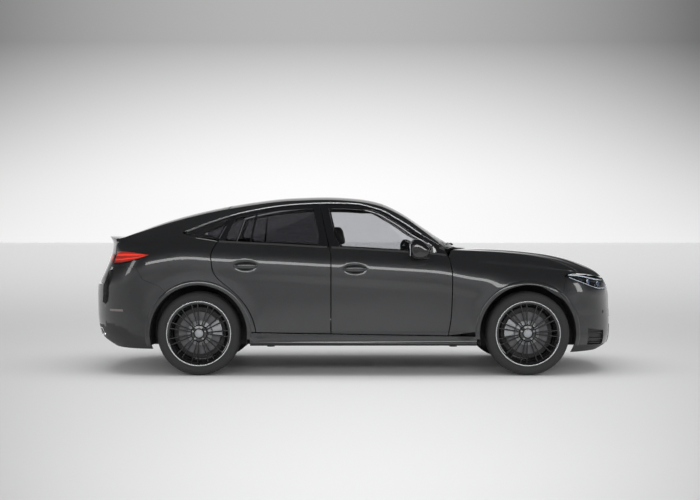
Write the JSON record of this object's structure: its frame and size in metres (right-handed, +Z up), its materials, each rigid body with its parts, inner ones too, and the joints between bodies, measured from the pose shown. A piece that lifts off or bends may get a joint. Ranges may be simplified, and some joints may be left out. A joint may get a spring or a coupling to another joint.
{
  "type": "coupe sport utility vehicle",
  "caption": "Tall five-door car with a sloping coupe tail: hinged doors, bonnet, tailgate and fuel flap, steered front wheels and freely turning road wheels.",
  "frame": {"origin": "on the road under the middle of the car's length", "axes": "+X to the front, +Y to the car's left, +Z up"},
  "size_m": [4.765, 2.1428, 1.593],
  "materials": {
    "paint": "metallic dark grey gloss",
    "black_trim": "satin",
    "glass": "tinted",
    "lamp_clear": "clear",
    "lamp_red": "gloss",
    "tyre": "matte",
    "alloy": "gloss dark with a machined edge",
    "chassis": "matte",
    "interior": "soft",
    "seat": "grained",
    "exhaust": "brushed"
  },
  "bodies": {
    "body": {"floor_pan": "chassis", "side_frame_left": "paint", "side_frame_right": "paint", "quarter_panel_left": "paint", "quarter_panel_right": "paint", "quarter_glass": "glass", "roof_panel": "paint", "roof_glass": "glass", "windscreen": "glass", "front_fenders": "paint", "front_bumper": "paint", "grille": "black_trim", "headlamps": "lamp_clear", "rear_bumper": "paint", "tail_lamps": "lamp_red", "cowl": "black_trim", "dashboard": "interior", "front_seats": "seat", "rear_seat": "seat", "engine_block": "chassis", "front_subframe": "chassis", "rear_axle": "chassis", "exhaust": "exhaust"},
    "door_front_left": {"door_front_left": "paint", "glass_front_left": "glass", "mirror_left": "black_trim"},
    "door_rear_left": {"door_rear_left": "paint", "glass_rear_left": "glass"},
    "door_front_right": {"door_front_right": "paint", "glass_front_right": "glass", "mirror_right": "black_trim"},
    "door_rear_right": {"door_rear_right": "paint", "glass_rear_right": "glass"},
    "bonnet": {"bonnet": "paint"},
    "tailgate": {"tailgate": "paint", "tailgate_glass": "glass"},
    "fuel_flap": {"fuel_flap": "paint"},
    "steering_wheel": {"steering_wheel": "interior"},
    "knuckle_left": {"knuckle_left": "chassis"},
    "knuckle_right": {"knuckle_right": "chassis"},
    "wheel_front_left": {"wheel_front_left": "alloy", "tyre_front_left": "tyre"},
    "wheel_front_right": {"wheel_front_right": "alloy", "tyre_front_right": "tyre"},
    "wheel_rear_left": {"wheel_rear_left": "alloy", "tyre_rear_left": "tyre"},
    "wheel_rear_right": {"wheel_rear_right": "alloy", "tyre_rear_right": "tyre"}
  },
  "joints": [
    {"name": "door_front_left_hinge", "type": "hinge", "parent": "body", "child": "door_front_left", "pos_m": [0.76723, 0.91638, 0.778], "axis": [0, 0, -1], "range_deg": [0, 68]},
    {"name": "door_rear_left_hinge", "type": "hinge", "parent": "body", "child": "door_rear_left", "pos_m": [-0.29532, 0.91864, 0.778], "axis": [0, 0, -1], "range_deg": [0, 68]},
    {"name": "door_front_right_hinge", "type": "hinge", "parent": "body", "child": "door_front_right", "pos_m": [0.76723, -0.91638, 0.778], "axis": [0, 0, 1], "range_deg": [0, 68]},
    {"name": "door_rear_right_hinge", "type": "hinge", "parent": "body", "child": "door_rear_right", "pos_m": [-0.29532, -0.91864, 0.778], "axis": [0, 0, 1], "range_deg": [0, 68]},
    {"name": "bonnet_hinge", "type": "hinge", "parent": "body", "child": "bonnet", "pos_m": [0.9225, 0, 1.08], "axis": [0, -1, 0], "range_deg": [0, 60]},
    {"name": "tailgate_hinge", "type": "hinge", "parent": "body", "child": "tailgate", "pos_m": [-1.1635, 0, 1.49261], "axis": [0, 1, 0], "range_deg": [0, 75]},
    {"name": "fuel_flap_hinge", "type": "hinge", "parent": "body", "child": "fuel_flap", "pos_m": [-1.4535, -0.91688, 1.002], "axis": [0, 0, 1], "range_deg": [0, 80]},
    {"name": "steer_left", "type": "hinge", "parent": "body", "child": "knuckle_left", "pos_m": [1.5285, 0.7605, 0.368], "axis": [0, 0, 1], "range_deg": [-35, 35]},
    {"name": "steer_right", "type": "hinge", "parent": "body", "child": "knuckle_right", "pos_m": [1.5285, -0.7605, 0.368], "axis": [0, 0, 1], "range_deg": [-35, 35]},
    {"name": "steering_wheel_turn", "type": "hinge", "parent": "body", "child": "steering_wheel", "pos_m": [0.5185, 0.38, 0.945], "axis": [-0.9272, 0, 0.3746], "range_deg": [-490, 490]},
    {"name": "wheel_front_left_spin", "type": "hinge", "parent": "knuckle_left", "child": "wheel_front_left", "pos_m": [1.5285, 0.7855, 0.368], "axis": [0, 1, 0], "continuous": true},
    {"name": "wheel_front_right_spin", "type": "hinge", "parent": "knuckle_right", "child": "wheel_front_right", "pos_m": [1.5285, -0.7855, 0.368], "axis": [0, 1, 0], "continuous": true},
    {"name": "wheel_rear_left_spin", "type": "hinge", "parent": "body", "child": "wheel_rear_left", "pos_m": [-1.3595, 0.7855, 0.368], "axis": [0, 1, 0], "continuous": true},
    {"name": "wheel_rear_right_spin", "type": "hinge", "parent": "body", "child": "wheel_rear_right", "pos_m": [-1.3595, -0.7855, 0.368], "axis": [0, 1, 0], "continuous": true}
  ],
  "couplings": [
    {"joint": "steer_right", "follows": "steer_left", "ratio": 1},
    {"joint": "steering_wheel_turn", "follows": "steer_left", "ratio": 14}
  ]
}
